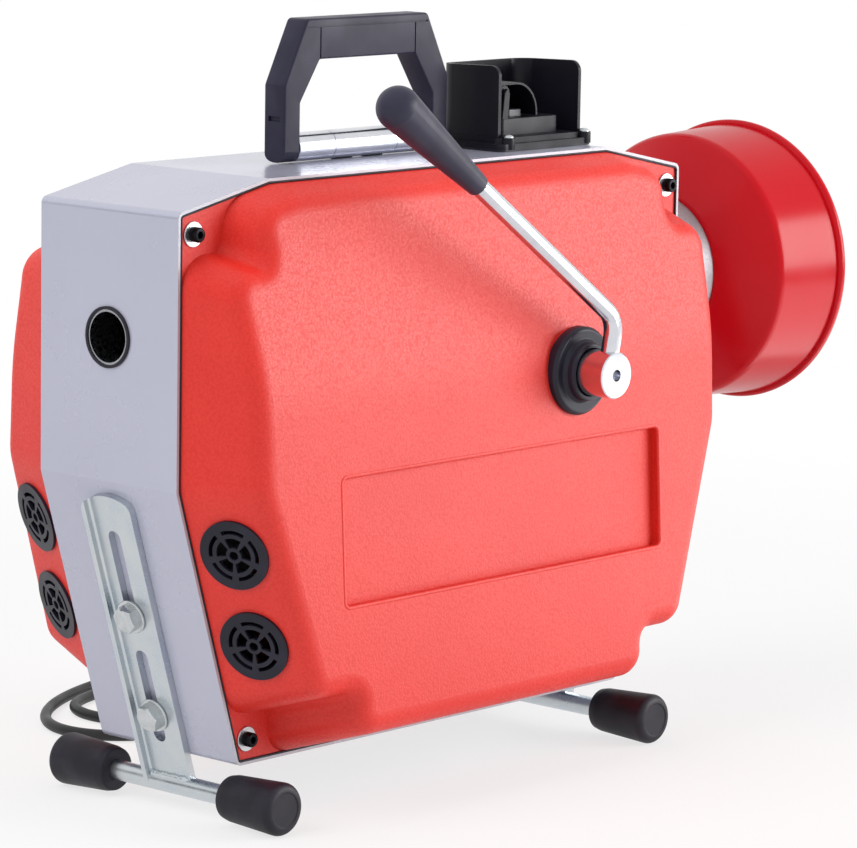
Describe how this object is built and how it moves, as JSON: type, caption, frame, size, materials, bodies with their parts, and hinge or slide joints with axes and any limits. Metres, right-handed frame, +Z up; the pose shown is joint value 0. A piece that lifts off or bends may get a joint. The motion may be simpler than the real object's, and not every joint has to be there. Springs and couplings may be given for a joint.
{
  "type": "drain cleaning machine",
  "caption": "Sectional drain cleaning machine: hollow spindle through a folded steel case with moulded side covers, clamping lever, splash bowl, carrying handle, switch and sliding feet.",
  "frame": {"origin": "on the floor, below the middle of the machine's bounding box without its supply cord", "axes": "+X from the spiral inlet to the splash bowl, +Y away from the lever side, +Z up"},
  "size_m": [0.6747, 0.4802, 0.5349],
  "materials": {
    "band_paint": "satin blue-grey powder coat",
    "cover_red": "moulded ABS with a leather grain",
    "bowl_red": "glossy red powder coat",
    "black_plastic": "moulded black nylon",
    "black_rubber": "moulded black rubber",
    "chrome": "polished chrome plate",
    "zinc": "bright zinc plate",
    "black_steel": "black oxide",
    "ground_steel": "turned and ground steel",
    "gear_steel": "hobbed steel, oiled",
    "cast_alloy": "cast aluminium, machined faces",
    "cord_rubber": "extruded black rubber sheath",
    "start_green": "moulded green plastic",
    "stop_red": "moulded red plastic"
  },
  "bodies": {
    "chassis": {"frame_band": "band_paint", "cover_near": "cover_red", "cover_far": "cover_red", "cover_screws": "black_steel", "inlet_tube": "ground_steel", "inlet_grommet": "black_rubber", "rear_bearing_plate": "zinc", "front_bearing_bracket": "zinc", "spindle_bearing_rear": "ground_steel", "spindle_bearing_front": "ground_steel", "front_collar": "cast_alloy", "splash_bowl": "bowl_red", "bowl_screws": "zinc", "motor_housing": "cast_alloy", "lever_return_spring": "black_steel", "lever_seal": "black_rubber", "handle_tube": "chrome", "switch_gasket": "black_rubber", "switch_base": "black_plastic", "switch_guard": "black_plastic", "switch_body": "black_plastic", "switch_screws": "zinc", "foot_bolts": "zinc", "cord_gland": "black_rubber", "cord_tube": "cord_rubber", "cord_coil": "cord_rubber", "cord_plug": "black_rubber", "vent_near_upper": "black_plastic", "vent_near_lower": "black_plastic", "vent_far_upper": "black_plastic", "vent_far_lower": "black_plastic"},
    "carry_handle": {"handle": "black_plastic"},
    "spindle": {"spindle_tube": "ground_steel", "spindle_gear": "gear_steel"},
    "jaw_1": {"clamp_jaw_1": "gear_steel"},
    "jaw_2": {"clamp_jaw_2": "gear_steel"},
    "jaw_3": {"clamp_jaw_3": "gear_steel"},
    "sleeve": {"clamp_sleeve": "ground_steel"},
    "rotor": {"motor_shaft": "ground_steel", "motor_pinion": "gear_steel", "motor_fan": "black_plastic"},
    "hand_lever": {"lever_shaft": "ground_steel", "lever_fork": "ground_steel", "lever_hub": "chrome", "lever_rod": "chrome", "lever_grip": "black_plastic"},
    "rear_foot": {"rear_foot_plate": "zinc", "rear_foot_rod": "zinc", "rear_cap_near": "black_rubber", "rear_cap_far": "black_rubber"},
    "front_foot": {"front_foot_plate": "zinc", "front_foot_rod": "zinc", "front_cap_near": "black_rubber", "front_cap_far": "black_rubber"},
    "flap": {"switch_flap": "black_plastic"},
    "start_key": {"start_button": "start_green"},
    "stop_key": {"stop_button": "stop_red"}
  },
  "joints": [
    {"name": "lever_hinge", "type": "hinge", "parent": "chassis", "child": "hand_lever", "pos_m": [0.003, -0.1335, 0.29], "axis": [0, -1, 0], "range_deg": [0, 40], "stiffness_Nm_per_rad": 2, "springref_deg": -40.11},
    {"name": "sleeve_slide", "type": "slide", "parent": "spindle", "child": "sleeve", "axis": [-1, 0, 0], "range_m": [0, 0.0303]},
    {"name": "spindle_spin", "type": "hinge", "parent": "chassis", "child": "spindle", "pos_m": [-0.076, 0.015, 0.3315], "axis": [1, 0, 0], "continuous": true},
    {"name": "rotor_spin", "type": "hinge", "parent": "chassis", "child": "rotor", "pos_m": [-0.076, 0.015, 0.2315], "axis": [1, 0, 0], "continuous": true},
    {"name": "handle_swing", "type": "hinge", "parent": "chassis", "child": "carry_handle", "pos_m": [-0.097, 0.015, 0.4469], "axis": [1, 0, 0], "range_deg": [-80, 80]},
    {"name": "flap_hinge", "type": "hinge", "parent": "chassis", "child": "flap", "pos_m": [0.03, 0.006, 0.476], "axis": [0, -1, 0], "range_deg": [0, 75]},
    {"name": "start_press", "type": "slide", "parent": "chassis", "child": "start_key", "axis": [0, 0, -1], "range_m": [0, 0.003], "stiffness_N_per_m": 200, "springref_m": -0.002},
    {"name": "stop_press", "type": "slide", "parent": "chassis", "child": "stop_key", "axis": [0, 0, -1], "range_m": [0, 0.003], "stiffness_N_per_m": 200, "springref_m": -0.002},
    {"name": "rear_foot_slide", "type": "slide", "parent": "chassis", "child": "rear_foot", "axis": [0.2942, 0, -0.9558], "range_m": [0, 0.043]},
    {"name": "front_foot_slide", "type": "slide", "parent": "chassis", "child": "front_foot", "axis": [-0.2942, 0, -0.9558], "range_m": [0, 0.043]},
    {"name": "jaw_1_slide", "type": "slide", "parent": "spindle", "child": "jaw_1", "axis": [0, 0, -1], "range_m": [0, 0.00251]},
    {"name": "jaw_2_slide", "type": "slide", "parent": "spindle", "child": "jaw_2", "axis": [0, 0.866, 0.5], "range_m": [0, 0.00251]},
    {"name": "jaw_3_slide", "type": "slide", "parent": "spindle", "child": "jaw_3", "axis": [0, -0.866, 0.5], "range_m": [0, 0.00251]}
  ],
  "couplings": [
    {"joint": "sleeve_slide", "follows": "lever_hinge", "m_per_rad": 0.043272},
    {"joint": "rotor_spin", "follows": "spindle_spin", "ratio": -4},
    {"joint": "jaw_1_slide", "follows": "lever_hinge", "m_per_rad": 0.003581},
    {"joint": "jaw_2_slide", "follows": "lever_hinge", "m_per_rad": 0.003581},
    {"joint": "jaw_3_slide", "follows": "lever_hinge", "m_per_rad": 0.003581}
  ]
}
